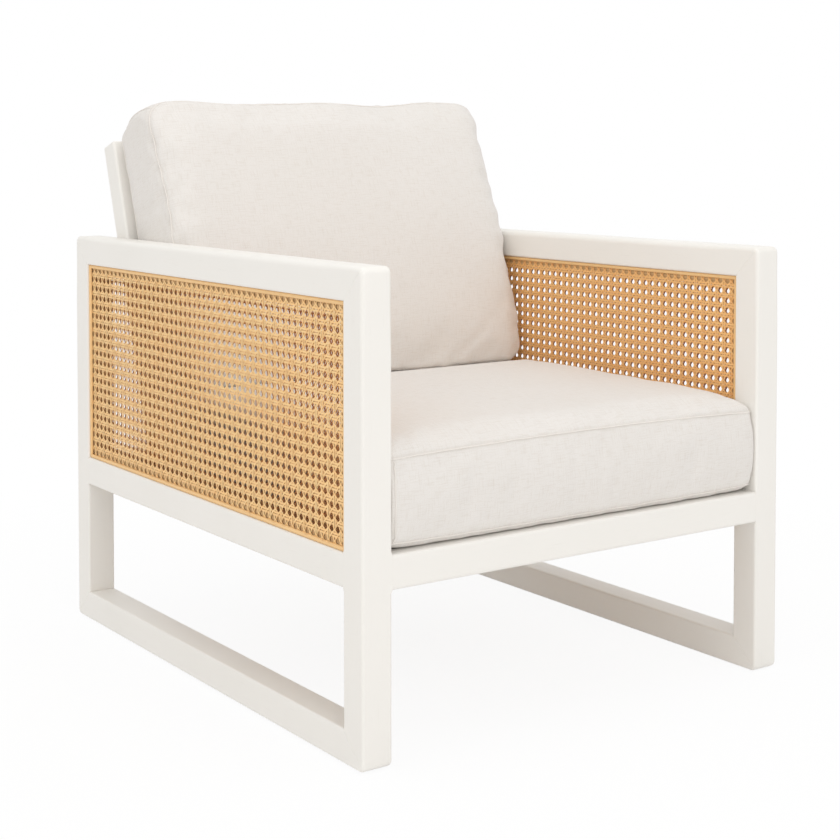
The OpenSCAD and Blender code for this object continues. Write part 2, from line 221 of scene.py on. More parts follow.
def noise(graph, place, scale, detail=2.0, roughness=0.5):
    return graph.wire("ShaderNodeTexNoise", None,
                      {"Vector": place, "Scale": scale, "Detail": detail, "Roughness": roughness})


def lacquer(along, lean=0.0):
    def recipe(graph):
        pores = noise(graph, stretched_place(graph, along, lean), 420, 3, 0.6)
        cloud = noise(graph, graph.place(), 6, 2)
        shade = graph.blend(cloud, colour(244, 241, 236), colour(240, 237, 231))
        tint = graph.blend((pores - 0.62).most(0) * 1.2, shade, colour(222, 217, 209))
        orange_peel = noise(graph, graph.place(), 160, 1)
        relief = graph.bump(0.10, 0.4 * MM, pores * 0.6 + orange_peel * 0.4)
        return {"Base Color": tint, "Roughness": 0.40 + cloud * 0.10 + pores * 0.04,
                "Normal": relief}
    return finish("lacquer_" + along + ("_lean" if lean else ""), recipe,
                  IOR=1.45, Coat_Weight=0.12, Coat_Roughness=0.35)


lacquers = {along: lacquer(along) for along in "xyz"}
lacquers["post"] = lacquer("z", LEAN)

# %% [markdown]
# The timber inside the chair is never painted: the liners that carry the cane, the
# ledgers, the slats and the dowels. Its grain is a wave of growth rings, bent by noise and
# drawn out along the piece, with fine dark pores over it.

# %% Bare timber
def bare_timber(along, light, dark):
    def recipe(graph):
        run = stretched_place(graph, along)
        bend = noise(graph, run, 22, 3)
        x, y, z = graph.parts(run)
        across = {"x": y + z, "y": x + z, "z": x + y}[along]
        rings = ((across * 900 + bend * 34).sine() + 1) * 0.5
        pores = noise(graph, run, 900, 2, 0.7)
        wood = graph.blend(rings * 0.7, colour(*light), colour(*dark))
        return {"Base Color": graph.blend((pores - 0.55).most(0) * 2, wood, colour(*dark)),
                "Roughness": 0.62 + pores * 0.2, "Normal": graph.bump(0.2, 0.4 * MM, pores)}
    return finish("timber_" + along + str(light[0]), recipe, IOR=1.45)


timbers = {along: bare_timber(along, (214, 176, 128), (176, 132, 84)) for along in "xyz"}
liners = {along: bare_timber(along, (222, 184, 134), (190, 146, 96)) for along in "yz"}

# %% [markdown]
# Zinc-plated steel and moulded nylon are small here. The screws get faint turning marks
# and uneven gloss, the nylon a fine moulded grain.

# %% Steel and nylon
def steel_recipe(graph):
    patina = noise(graph, graph.place(), 260, 3)
    return {"Base Color": graph.blend(patina, colour(196, 197, 198), colour(168, 170, 174)),
            "Roughness": 0.28 + patina * 0.22,
            "Normal": graph.bump(0.15, 0.2 * MM, noise(graph, graph.place(), 2400))}


def nylon_recipe(graph):
    grain = noise(graph, graph.place(), 1800, 2)
    cloud = noise(graph, graph.place(), 40)
    return {"Base Color": graph.blend(cloud, colour(206, 203, 198), colour(190, 187, 181)),
            "Roughness": 0.5 + grain * 0.15, "Normal": graph.bump(0.2, 0.2 * MM, grain)}


steel = finish("zinc_steel", steel_recipe, Metallic=1.0)
nylon = finish("glide_nylon", nylon_recipe, IOR=1.53)

# %% [markdown]
# The kept CAD nodes each get the finish that suits the way their grain runs. Their meshes
# aren't touched: only the material in their slots changes.

# %% Finishes for the kept nodes
def dress(node, material):
    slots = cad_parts[node].data.materials
    if not slots:
        slots.append(material)
    for i in range(len(slots)):
        slots[i] = material


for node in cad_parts:
    kind = node.rsplit("_", 1)[0]
    if node.startswith("liner_") and "screws" not in node:
        dress(node, liners["y" if "top" in node or "bottom" in node else "z"])
    elif kind == "ledger":
        dress(node, timbers["y"])
    elif kind == "seat_slat" or node.endswith("dowels"):
        dress(node, timbers["x"])
    elif kind == "back_rail":
        dress(node, lacquers["x"])
    elif node.endswith(("screws", "bolts", "inserts")):
        dress(node, steel)
    elif node == "foot_glides":
        dress(node, nylon)
print("dressed the kept nodes")

# %% [markdown]
# A frame member is a bar of square section whose four long edges are rounded by different
# amounts. It could be a box with a bevel, but then every edge gets one radius, and the
# ends can't follow a mitre and the loop's rounded corner. So a function draws the section
# at any place, and a second one skins the sections into a closed mesh. Each round starts
# and ends with a close pair of points, which keeps the shading of the flats flat.

# %% Sections and skins
ROUND_STEPS = 4
HOLD = 1.2 * MM                   # distance of the holding points from a round


def bar_section(width, depth, radii, inset=0.0):
    """Points round a bar's section from (0, 0) to (width, depth), one radius a corner."""
    points = []
    corners = [(0, 0, 180), (width, 0, 270), (width, depth, 0), (0, depth, 90)]
    for (x, n, start), r in zip(corners, radii):
        cx = x + r if x == 0 else x - r
        cn = n + r if n == 0 else n - r
        steps = [math.radians(start + 90 * k / ROUND_STEPS) for k in range(ROUND_STEPS + 1)]
        arc = [(cx + (r - inset) * math.cos(a), cn + (r - inset) * math.sin(a)) for a in steps]
        before, after = steps[0] + math.pi / 2, steps[-1] + math.pi / 2
        points.append((arc[0][0] - HOLD * math.cos(before), arc[0][1] - HOLD * math.sin(before)))
        points += arc
        points.append((arc[-1][0] + HOLD * math.cos(after), arc[-1][1] + HOLD * math.sin(after)))
    return points


def add_object(name, data):
    made = bpy.data.objects.new(name, data)
    bpy.context.scene.collection.objects.link(made)
    return made


def skinned_mesh(name, verts, faces, merge=0.0):
    """A mesh with its faces outwards, and with points closer than merge made one."""
    mesh = bpy.data.meshes.new(name)
    mesh.from_pydata(verts, [], faces)
    work = bmesh.new()
    work.from_mesh(mesh)
    if merge:
        bmesh.ops.remove_doubles(work, verts=work.verts, dist=merge)
    bmesh.ops.recalc_face_normals(work, faces=work.faces)
    work.to_mesh(mesh)
    work.free()
    return mesh


def show(name, mesh, body, replaces):
    """Adds a finished piece: what it rides on, which nodes it stands for."""
    mesh.name = name
    piece = add_object(name, mesh)
    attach(piece, body)
    if replaces:
        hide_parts(*replaces)
    return piece


def frame_piece(name, verts, faces, material, replaced, sharp=35):
    """Makes a piece of the frame from closed skins, with its finish on."""
    mesh = skinned_mesh(name, verts, faces, 1e-6)
    mesh.shade_smooth()
    mesh.set_sharp_from_angle(angle=math.radians(sharp))
    mesh.materials.append(material)
    return show(name, mesh, "frame", [replaced])


def skin(rings, first=0):
    """Faces of a closed tube through equal rings, with a cap at each end."""
    size = len(rings[0])
    faces = [[first + k * size + i, first + k * size + (i + 1) % size,
              first + (k + 1) * size + (i + 1) % size, first + (k + 1) * size + i]
             for k in range(len(rings) - 1) for i in range(size)]
    last = first + (len(rings) - 1) * size
    return faces + [[first + i for i in range(size)][::-1], [last + i for i in range(size)]]


low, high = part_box("arm_rail_left")
OUT_X, IN_X = -low.x, -high.x
STOCK = OUT_X - IN_X
FRONT_Y, REAR_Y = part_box("front_leg_left")[0].y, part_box("rear_leg_left")[1].y
ARM_TOP = high.z
LOOP_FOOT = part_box("base_rail_left")[0].z
RAIL_LOW, RAIL_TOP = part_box("mid_rail_left")[0].z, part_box("mid_rail_left")[1].z
print("stock", round(STOCK / MM, 1), "mm, rails' top at", round(RAIL_TOP / MM, 1), "mm")

# %% [markdown]
# Each side frame is four members that meet at 45 degrees. The outer corner of the loop is
# rounded, so the sections turn through half a corner before they run straight. A member
# is easiest to describe by two distances: along its outer line, and inwards from it. At
# each mitre a fine V stays open, as it does on a real joint once the timber has moved.
# The arms are rounded most, where hands and forearms rest, and the round dies out where
# the rails join.

# %% Side frames
CORNER_R = 9 * MM                 # the loop's outer corner, seen from the side
JOINT_V = 0.45 * MM               # depth and half the width of the open V at a mitre
ARM_ROUND, MITRE_ROUND, EDGE_ROUND, OPENING_ROUND = 8 * MM, 6 * MM, 4 * MM, 3 * MM
NO_ROUND = 0.15 * MM              # where a rail joins flush
BLEND_FROM, BLEND_TO = 0.05, 0.11   # where the mitre's round turns into the member's own


def turn_spot(n, share, back_off):
    """Along and inward distance of offset n, a share of the way from the mitre to the run."""
    angle = math.radians(45 + 45 * share)
    if n < CORNER_R:
        along = CORNER_R - (CORNER_R - n) * math.cos(angle)
        return along + back_off, CORNER_R - (CORNER_R - n) * math.sin(angle)
    return n + 0.2 * (n - CORNER_R) * share + back_off, n


def ease(value, start, end):
    share = min(max((value - start) / (end - start), 0), 1)
    return share * share * (3 - 2 * share)


def member_rings(length, runs, radii_at):
    """Rings of (across, along, inward) for a member that is mitred at both ends."""
    shares = [0, 0.25, 0.5, 0.75, 1]
    turn = [("turn", 0, 0, JOINT_V)] + [("turn", s, JOINT_V * (1 - s), 0) for s in shares]
    stations = turn + [("run", s, 0, 0) for s in runs] + [("end", *spot[1:]) for spot in turn[::-1]]
    rings = []
    for kind, s, back_off, inset in stations:
        place = {"turn": 0, "run": s, "end": length}[kind]
        ring = []
        for across, n in bar_section(STOCK, STOCK, radii_at(place), inset):
            along, inward = (s, n) if kind == "run" else turn_spot(n, s, back_off)
            ring.append((across, length - along if kind == "end" else along, inward))
        rings.append(ring)
    return rings


def arm_radii(s):
    from_end = min(s, LOOP_D - s)
    top = MITRE_ROUND + (ARM_ROUND - MITRE_ROUND) * ease(from_end, BLEND_FROM, BLEND_TO)
    return top, top, OPENING_ROUND, OPENING_ROUND


def base_radii(s):
    return EDGE_ROUND, EDGE_ROUND, OPENING_ROUND, OPENING_ROUND


def leg_radii(s):
    outer = MITRE_ROUND + (EDGE_ROUND - MITRE_ROUND) * ease(s, BLEND_FROM, BLEND_TO)
    if RAIL_LOW - 1 * MM < ARM_TOP - s < RAIL_TOP + 1 * MM:
        return outer, NO_ROUND, NO_ROUND, NO_ROUND
    return outer, outer, OPENING_ROUND, OPENING_ROUND


LOOP_D, LOOP_H = REAR_Y - FRONT_Y, ARM_TOP - LOOP_FOOT
near_end = [0.056, 0.08, BLEND_TO]   # stations where the rounds change
long_runs = [*near_end, LOOP_D / 2, *[LOOP_D - s for s in near_end[::-1]]]
rail_ends = [ARM_TOP - RAIL_TOP + step * MM for step in (-4, 0, 0.2)]
rail_ends += [ARM_TOP - RAIL_LOW + step * MM for step in (-0.2, 0, 4)]
leg_runs = [*near_end, *rail_ends, LOOP_H - near_end[0]]
members = {  # length, stations between the ends, rounds, grain, place in the side view
    "arm_rail": (LOOP_D, long_runs, arm_radii, "y", lambda a, n: (FRONT_Y + a, ARM_TOP - n)),
    "base_rail": (LOOP_D, long_runs, base_radii, "y", lambda a, n: (FRONT_Y + a, LOOP_FOOT + n)),
    "front_leg": (LOOP_H, leg_runs, leg_radii, "z", lambda a, n: (FRONT_Y + n, ARM_TOP - a)),
    "rear_leg": (LOOP_H, leg_runs, leg_radii, "z", lambda a, n: (REAR_Y - n, ARM_TOP - a))}


def add_bar(node, rings, place, material):
    """Puts a bar's rings of (across, along, inward) in their place and skins them."""
    verts = [place(*spot) for ring in rings for spot in ring]
    frame_piece(node + "_shaped", verts, skin(rings), material, node)


for side, sign in SIDES.items():
    for kind, (length, runs, radii, grain, place) in members.items():
        add_bar(f"{kind}_{side}", member_rings(length, runs, radii),
                lambda across, a, n: (sign * (OUT_X - across), *place(a, n)), lacquers[grain])
print("side frames:", 2 * len(members), "members")

# %% [markdown]
# The middle rails and the two seat rails end square against the legs. The lacquer fills
# these joints, so no line shows at them. The back posts are cut level at the foot, where
# they stand inside the middle rails, and square at the top. All their edges are softened.

# %% Rails and posts
END_EASE = 0.15 * MM              # the softening of a rail's ends


def evenly_round(depth, spots):
    """Rings of (across, along, inward) at spots of (along, inset), with equal rounds."""
    return [[(a, along, n) for a, n in bar_section(STOCK, depth, [EDGE_ROUND] * 4, inset)]
            for along, inset in spots]


def rail_rings(length):
    return evenly_round(STOCK, [(0, END_EASE), (END_EASE, 0), (length / 2, 0),
                                (length - END_EASE, 0), (length, END_EASE)])


for side, sign in SIDES.items():
    low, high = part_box("mid_rail_" + side)
    add_bar("mid_rail_" + side, rail_rings(high.y - low.y),
            lambda a, s, n: (sign * (OUT_X - a), low.y + s, RAIL_TOP - n), lacquers["y"])
for node in ("front_seat_rail", "rear_seat_rail"):
    low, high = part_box(node)
    add_bar(node, rail_rings(high.x - low.x),
            lambda a, s, n: (low.x + s, low.y + a, low.z + n), lacquers["x"])

POST_D = 40 * MM
POST_END_ROUND = 2.2 * MM
post_low, post_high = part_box("back_post_left")
POST_FOOT_Y = post_low.y
POST_L = (post_high.z - RAIL_LOW) / math.cos(LEAN)


def lean_place(x, up, back):
    """A point of the back's leaning frame: up along the posts' front face, back from it."""
    return (x, POST_FOOT_Y + up * math.sin(LEAN) + back * math.cos(LEAN),
            RAIL_LOW + up * math.cos(LEAN) - back * math.sin(LEAN))


post_rings = evenly_round(POST_D, [
    (0, 0), (0.03, 0), (POST_L / 2, 0), (POST_L - 4 * MM, 0), (POST_L - POST_END_ROUND, 0),
    (POST_L - 0.6 * MM, 0.7 * MM), (POST_L, POST_END_ROUND)])
post_rings[0] = [(a, n * math.tan(LEAN), n) for a, _, n in post_rings[0]]
for side, sign in SIDES.items():
    add_bar("back_post_" + side, post_rings,
            lambda a, up, n: lean_place(sign * (IN_X - a), up, n), lacquers["post"])
print("rails and posts ready")

# %% [markdown]
# Cane is the outer skin of the rattan vine, split into strips that are glossy and domed
# on the face and flat behind. Each strip varies from the next in colour, and has fine
# lines along it. A strip's own number, which the weave stores on it, gives the colour,
# and the weave's height gives a painted shade where one strip dives under another. The
# inner faces of the arms get a copy of the finish a tone deeper, as painted shade. The
# flat rear of a strip is painted too: darker on the outer layer, as painted shade in the
# gaps of the inner one, and lighter on the inner layer, as painted light in the gaps of
# the outer one.

# %% Finish of the cane
def cane_recipe(light, mid, dark, painted_rear):
    def recipe(graph):
        blotch = noise(graph, graph.place(), 55, 2)
        fibre = noise(graph, graph.place(), 2600, 2)
        strand = graph.stored("strand") * 0.65 + blotch * 0.35
        shade = graph.blend(strand, colour(*mid), colour(*light))
        # Painted shade where a strip dives under another, taken from the weave's height
        shaded_under = graph.blend((0.5 - graph.stored("height")).most(0), shade, colour(*dark))
        streak = graph.blend((fibre - 0.5).most(0) * 0.5, shaded_under, colour(*dark))
        # The flat rear of a strip gets its layer's painted tone: painted shade on the outer layer,
        # painted light on the inner one
        both_sides = graph.blend(graph.stored("behind"), streak, colour(*painted_rear))
        return {"Base Color": both_sides, "Roughness": 0.36 + blotch * 0.2,
                "Normal": graph.bump(0.25, 0.3 * MM, fibre)}
    return recipe


# The inner layer's tones are a tone deeper, painted shade. Its rear is light, painted light, and
# the outer layer's rear is dark, painted shade
cane_tones = {  # name, then light and middle tone, the shade under a strip, and the rear
    "outer": ("woven_cane", (255, 219, 157), (255, 203, 134), (214, 140, 72), (176, 108, 54)),
    "inner": ("woven_cane_inner", (252, 205, 137), (248, 187, 115), (196, 122, 58),
              (240, 176, 112))}
cane = {layer: finish(name, cane_recipe(*tones), IOR=1.5)
        for layer, (name, *tones) in cane_tones.items()}

# %% [markdown]
# The weave has a rule, so Geometry Nodes make it. Pairs of upright and level strips cross
# at every pitch and take turns to lie on top. Slanting strips cut the corners of each
# square, which leaves eight-sided gaps: one set rides over the level pairs and under the
# upright ones, the other set the other way round. A strip starts as a straight line, is
# cut into short steps, lifted by a cosine, and gets a profile with three corners: flat
# behind and domed in front once it is shaded smooth. More corners would cost a hundred
# thousand faces a panel and not show.

# %% The weave's node tree
def group_inputs(graph, sizes, path=False):
    """Adds named inputs to a Geometry Nodes tree, and returns them by name."""
    face = graph.tree.interface
    if path:
        face.new_socket(name="Geometry", in_out="INPUT", socket_type="NodeSocketGeometry")
    kinds = {int: "NodeSocketInt", float: "NodeSocketFloat", type(None): "NodeSocketMaterial"}
    for name, value in sizes.items():
        made = face.new_socket(name=name, in_out="INPUT", socket_type=kinds[type(value)])
        if value is not None:
            made.default_value = value
    face.new_socket(name="Geometry", in_out="OUTPUT", socket_type="NodeSocketGeometry")
    source = graph.add("NodeGroupInput")
    return {name: Wire(source.outputs[name]) for name in [*sizes, *(["Geometry"] * path)]}


def store(graph, geometry, domain, name, value):
    return graph.wire("GeometryNodeStoreNamedAttribute", {"data_type": "FLOAT", "domain": domain},
                      {"Geometry": geometry, "Name": name, "Value": value})


def fetch(graph, kind, name):
    return graph.wire("GeometryNodeInputNamedAttribute", {"data_type": kind}, {"Name": name})


def circle(graph, corners, radius):
    return graph.wire("GeometryNodeCurvePrimitiveCircle", {"mode": "RADIUS"},
                      {"Resolution": corners, "Radius": radius}, "Curve")


def tube(graph, path, profile):
    return graph.wire("GeometryNodeCurveToMesh", None,
                      {"Curve": path, "Profile Curve": profile, "Fill Caps": True})


def strands(graph, size, count, start, turn, length, wave, step, number):
    """Lines from a start, turned by an angle, and waved over and under."""
    index = graph.wire("GeometryNodeInputIndex")
    line = graph.wire("GeometryNodeMeshLine", {"mode": "OFFSET"},
                      {"Count": count, "Offset": (0, 0, 0)})
    points = graph.wire("GeometryNodeMeshToPoints", None,
                        {"Mesh": graph.wire("GeometryNodeSetPosition", None,
                                            {"Geometry": line, "Position": start(index)})})
    unit = graph.wire("GeometryNodeCurvePrimitiveLine", None, {"End": (1, 0, 0)})
    placed = graph.wire("GeometryNodeInstanceOnPoints", None,
                        {"Points": points, "Instance": unit,
                         "Rotation": graph.vector(0, 0, turn),
                         "Scale": graph.vector(length(index), 1, 1)})
    own = graph.wire("FunctionNodeRandomValue", {"data_type": "FLOAT"},
                     {"ID": index, "Seed": size["Seed"] + number})
    curves = graph.wire("GeometryNodeRealizeInstances", None,
                        {"Geometry": store(graph, placed, "INSTANCE", "strand", own)})
    cut = graph.wire("GeometryNodeResampleCurve", {"mode": "LENGTH"},
                     {"Curve": curves, "Length": step})
    x, y, _ = graph.parts(graph.wire("GeometryNodeInputPosition"))
    lift = wave(x, y)
    kept = store(graph, cut, "POINT", "height", lift / size["Lift"] * 0.5 + 0.5)
    drift = graph.wire("ShaderNodeTexNoise", {"noise_dimensions": "4D"},
                       {"Vector": graph.wire("GeometryNodeInputPosition"),
                        "W": fetch(graph, "FLOAT", "strand") * 90,
                        "Scale": 18.0, "Detail": 1.0}, "Color")
    dx, dy, _ = graph.parts(drift)
    loose = size["Drift"]
    waved = graph.wire("GeometryNodeSetPosition", None,
                       {"Geometry": kept,
                        "Offset": graph.vector((dx - 0.5) * loose, (dy - 0.5) * loose, lift)})
    return graph.wire("GeometryNodeSetCurveNormal", {"mode": "Z_UP"}, {"Curve": waved})


STRAIGHT_STEP, SLANT_STEP = 4.6 * MM, 2.7 * MM   # lengths of the steps that a strip is cut into
SHARP_TURN = 1.2                  # radians between two faces, past which their edge is hard


def weave_tree():
    tree = bpy.data.node_groups.new("cane_weave", "GeometryNodeTree")
    graph = Graph(tree)
    size = group_inputs(graph, {"Width": 0.776, "Height": 0.314, "Pitch": 0.015, "Columns": 52,
                                "Rows": 21, "Shift x": 0.0, "Shift y": 0.0,
                                "Pair": 0.0018, "Strip width": 0.0025,
                                "Strip height": 0.0006, "Lift": 0.0007, "Drift": 0.0004,
                                "Seed": 3, "Material": None})
    wide, tall, pitch = size["Width"], size["Height"], size["Pitch"]
    # Lattice line 0 is half a panel from the middle, to the left and down
    left = size["Columns"] * pitch * -0.5 + size["Shift x"]
    foot = size["Rows"] * pitch * -0.5 + size["Shift y"]
    turns = math.pi / pitch
    lift = size["Lift"]

    def pair_offset(index):
        return (index % 2 * 2 - 1) * size["Pair"]

    def upright(x, y):
        column = ((x - left) / pitch + 0.5).floor()
        return lift * 0.45 * ((y - foot) * turns + column * math.pi).cosine()

    def level(x, y):
        row = ((y - foot) / pitch + 0.5).floor()
        return lift * -0.45 * ((x - left) * turns + row * math.pi).cosine()

    def slant(sign):
        return lambda x, y: lift * -sign * ((x - left) * turns * 2).cosine()

    # Slanting line i is x - y = across; the other set is the same, upside down
    def slant_across(index, sign):
        across = (index - size["Rows"] - 0.5) * pitch
        return across + left - (foot if sign > 0 else -foot - size["Rows"] * pitch)

    def slant_start(sign):
        def start(index):
            across = slant_across(index, sign)
            x = (across - tall * 0.5).most(wide * -0.5).least(wide * 0.5 - 0.002)
            return graph.vector(x, (x - across).least(tall * 0.5 - 0.002) * sign, 0)
        return start

    def slant_length(sign):
        def length(index):
            across = slant_across(index, sign)
            end = (across + tall * 0.5).least(wide * 0.5)
            return (end - (across - tall * 0.5).most(wide * -0.5)).most(0.001) * math.sqrt(2)
        return length

    def pair_place(index, first, extent):
        """Place of a strip of a pair across the panel, kept just inside its edges."""
        place = (index / 2).floor() * pitch + first + pair_offset(index)
        return place.most(extent * -0.5 + 1 * MM).least(extent * 0.5 - 1 * MM)

    count = size["Columns"] + size["Rows"] + 2
    sets = [
        strands(graph, size, size["Columns"] * 2 + 2,
                lambda i: graph.vector(pair_place(i, left, wide), tall * -0.5, 0),
                math.pi / 2, lambda i: tall, upright, STRAIGHT_STEP, 0),
        strands(graph, size, size["Rows"] * 2 + 2,
                lambda i: graph.vector(wide * -0.5, pair_place(i, foot, tall), 0),
                0, lambda i: wide, level, STRAIGHT_STEP, 1)]
    sets += [strands(graph, size, count, slant_start(sign), sign * math.pi / 4, slant_length(sign),
                     slant(sign), SLANT_STEP, number) for sign, number in ((1, 2), (-1, 3))]
    profile = graph.wire("GeometryNodeTransform", None, {
        "Geometry": circle(graph, 3, 1.0), "Rotation": (0, 0, math.pi / 2),
        "Scale": graph.vector(size["Strip height"] / 1.5, size["Strip width"] / math.sqrt(3), 1)})
    turned = graph.wire("GeometryNodeInputMeshEdgeAngle", None, None, "Unsigned Angle")
    edged = graph.wire("GeometryNodeSetShadeSmooth", {"domain": "EDGE"},
                       {"Geometry": tube(graph, graph.join(sets), profile),
                        "Selection": turned.above(SHARP_TURN), "Shade Smooth": False})
    _, _, up = graph.parts(graph.wire("GeometryNodeInputNormal"))
    graph.give(store(graph, edged, "FACE", "behind", (-up).above(0.3)), size["Material"])
    return tree


print("weave tree written")

# %% [markdown]
# One tree makes all four panels. Its sizes go in through the modifier, each by the
# identifier of its socket, and the finished mesh is taken from the evaluated object. A
# panel is woven lying flat and face up, and is then stood up in its arm, facing out of the
# chair on the outside and into it on the inside. The two layers are set off from each
# other, so their gaps don't quite line up, and slow bands show where one is seen through
# the other.

# %% Weave the four panels
def baked(holder):
    """The mesh of an object with its modifiers run."""
    ready = holder.evaluated_get(bpy.context.evaluated_depsgraph_get())
    return bpy.data.meshes.new_from_object(ready)


def taken(holder):
    """The same, with the object removed afterwards."""
    mesh = baked(holder)
    bpy.data.objects.remove(holder)
    return mesh


def grow(name, tree, values, source=None):
    """Runs a Geometry Nodes tree with these inputs, and returns the mesh that it makes."""
    holder = add_object(name, source or bpy.data.meshes.new(name))
    modifier = holder.modifiers.new("maker", "NODES")
    modifier.node_group = tree
    for item in tree.interface.items_tree:
        if item.in_out == "INPUT" and item.name in values:
            modifier[item.identifier] = values[item.name]
    return taken(holder)


def facing(outward, x, y, z):
    """Stands a flat-made panel up, its face towards outward along x."""
    return Matrix(((0, 0, outward, x), (outward, 0, 0, y), (0, 1, 0, z), (0, 0, 0, 1)))


weave = weave_tree()
LAYERS = {"outer": 1, "inner": -1}
ROWS = 21
WEAVES = {  # pitch, columns, shift along the chair, shift upwards
    "outer_left": (15.00, 52, 0.0, 0.0), "inner_left": (15.00, 52, -2.5, 5.0),
    "inner_right": (15.00, 52, 0.0, 0.0), "outer_right": (15.27, 51, -4.6, -6.8)}
for side, sign in SIDES.items():
    for layer, faces_out in LAYERS.items():
        node = f"cane_{layer}_{side}"
        low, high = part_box(node)
        middle = (low + high) / 2
        pitch, columns, shift_y, shift_z = WEAVES[f"{layer}_{side}"]
        values = {"Pitch": pitch * MM, "Columns": columns, "Rows": ROWS,
                  "Shift x": shift_y * MM * sign * faces_out, "Shift y": shift_z * MM,
                  "Seed": 3 + 20 * len(layer + side) + (sign > 0),
                  "Width": high.y - low.y - 3 * MM, "Height": high.z - low.z - 3 * MM,
                  "Material": cane[layer]}
        mesh = grow(node, weave, values)
        mesh.transform(facing(sign * faces_out, *middle))
        show(node + "_woven", mesh, "frame", [node])
        across = [v.co.x for v in mesh.vertices]
        print(node, sum(len(p.vertices) - 2 for p in mesh.polygons), "triangles, thickness",
              round((max(across) - min(across)) / MM, 2), "mm")

# %% [markdown]
# Split reed borders each panel and hides the cut ends of the cane. It is half round, pale
# and long grained, and its four lengths meet in mitres, so it is drawn like the frame
# members: a section, four runs, slanting ends. A UV map carries the distance along each
# length, and the grain follows that.

# %% Reed borders
def reed_recipe(graph):
    along, around, _ = graph.parts(graph.wire("ShaderNodeUVMap", {"uv_map": "run"}))
    grain = noise(graph, graph.vector(along * 14, around * 420, 0), 1.0, 3, 0.6)
    fine = noise(graph, graph.vector(along * 60, around * 1900, 4), 1.0, 2)
    blotch = noise(graph, graph.vector(along * 9, 0, 7), 1.0, 2)
    shade = graph.blend(grain * 0.6 + blotch * 0.4, colour(236, 186, 122), colour(255, 218, 160))
    lined = graph.blend((fine - 0.56).most(0) * 2.2, shade, colour(178, 122, 66))
    return {"Base Color": lined, "Roughness": 0.4 + grain * 0.15,
            "Normal": graph.bump(0.3, 0.3 * MM, fine + grain)}


reed = finish("split_reed", reed_recipe, IOR=1.5)
REED_ARC = 8


def reed_section(width, height):
    """Points (inwards, outwards) of half-round reed that lies on the cane."""
    r = width / 2
    arc = [math.pi - math.pi * k / REED_ARC for k in range(REED_ARC + 1)]
    dome = [(r + r * math.cos(a), height - r + r * math.sin(a)) for a in arc]
    return [(0, 0), *dome, (width, 0)]


def rounded(point):
    return tuple(round(c, 5) for c in point)


REED_W, MITRE_GAP = 6 * MM, 0.15 * MM
FRONT_IN, REAR_IN, TOP_IN = FRONT_Y + STOCK, REAR_Y - STOCK, ARM_TOP - STOCK
lengths = [  # along the top, the bottom, the front and the rear of an opening
    (REAR_IN - FRONT_IN, lambda a, n: (FRONT_IN + a, TOP_IN - n)),
    (REAR_IN - FRONT_IN, lambda a, n: (FRONT_IN + a, RAIL_TOP + n)),
    (TOP_IN - RAIL_TOP, lambda a, n: (FRONT_IN + n, RAIL_TOP + a)),
    (TOP_IN - RAIL_TOP, lambda a, n: (REAR_IN - n, RAIL_TOP + a))]
MARK_APART = 1.7                  # keeps the four lengths' grain apart on the UV map
for side, sign in SIDES.items():
    for layer, faces_out in LAYERS.items():
        node = f"reed_{layer}_{side}"
        low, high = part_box(node)
        outward = sign * faces_out
        base_x = low.x if outward > 0 else high.x
        section = reed_section(REED_W, high.x - low.x)
        verts, faces, marks = [], [], []
        for number, (length, place) in enumerate(lengths):
            rings = []
            for end in (0, 1):
                rings.append([])
                for inward, out in section:
                    cut = inward + MITRE_GAP
                    along = length - cut if end else cut
                    rings[-1].append((base_x + outward * out, *place(along, inward)))
                    marks.append((along + number * MARK_APART, inward + out))
            faces += skin(rings, len(verts))
            verts += rings[0] + rings[1]
        piece = frame_piece(node + "_run", verts, faces, reed, node, sharp=50)
        uv = piece.data.uv_layers.new(name="run")
        spots = {rounded(v): mark for v, mark in zip(verts, marks)}
        for loop in piece.data.loops:
            corner = rounded(piece.data.vertices[loop.vertex_index].co)
            uv.data[loop.index].uv = spots.get(corner, (0, 0))
print("reed borders ready")

# %% [markdown]
# The linen is a plain weave of slubby yarn, with a yarn at every three quarters of a
# millimetre, and thick places in the yarn that show as faint streaks both ways. The weave
# follows each sewn panel, so the cushions carry a UV map in metres, panel by panel. The
# relief is the weave itself, the colour only drifts a little, and a painted shade darkens
# the cloth in the groove beside each seam.

# %% Linen
YARNS = 1300                      # yarns in a metre
STREAK_LONG, STREAK_WIDE = 50, 600   # steps of noise in a metre, along a streak and across


def linen_recipe(graph):
    u, v, _ = graph.parts(graph.wire("ShaderNodeUVMap", {"uv_map": "panel"}))
    warp, weft = ((place * (YARNS * math.pi)).sine() for place in (u, v))
    weave_height = warp * weft * 0.5 + 0.5
    slub_u = noise(graph, graph.vector(u * STREAK_LONG, v * STREAK_WIDE, 0), 1.0)
    slub_v = noise(graph, graph.vector(u * STREAK_WIDE, v * STREAK_LONG, 3), 1.0)
    fleck = noise(graph, graph.vector(u, v, 9), 1500, 2, 0.7)
    drift = noise(graph, graph.place(), 7, 2)
    yarn = (slub_u + slub_v) * 0.5
    base = graph.blend(drift, colour(237, 233, 229), colour(233, 229, 224))
    streaks = ((slub_u - 0.5).most(0) + (slub_v - 0.5).most(0)) * 1.6
    streaked = graph.blend(streaks.least(1), base, colour(219, 211, 202))
    flecked = graph.blend((fleck - 0.5).most(0) * 2.0, streaked, colour(198, 188, 177))
    # Painted shade in the groove of each seam, read from the mark stored on the cushion
    seam_shaded = graph.blend(graph.stored("crease") * 0.18, flecked, colour(178, 164, 150))
    relief = graph.bump(0.35, 0.6 * MM, weave_height * 0.5 + yarn * 0.4 + fleck * 0.5)
    return {"Base Color": seam_shaded, "Roughness": 0.86 + fleck * 0.12, "Normal": relief}


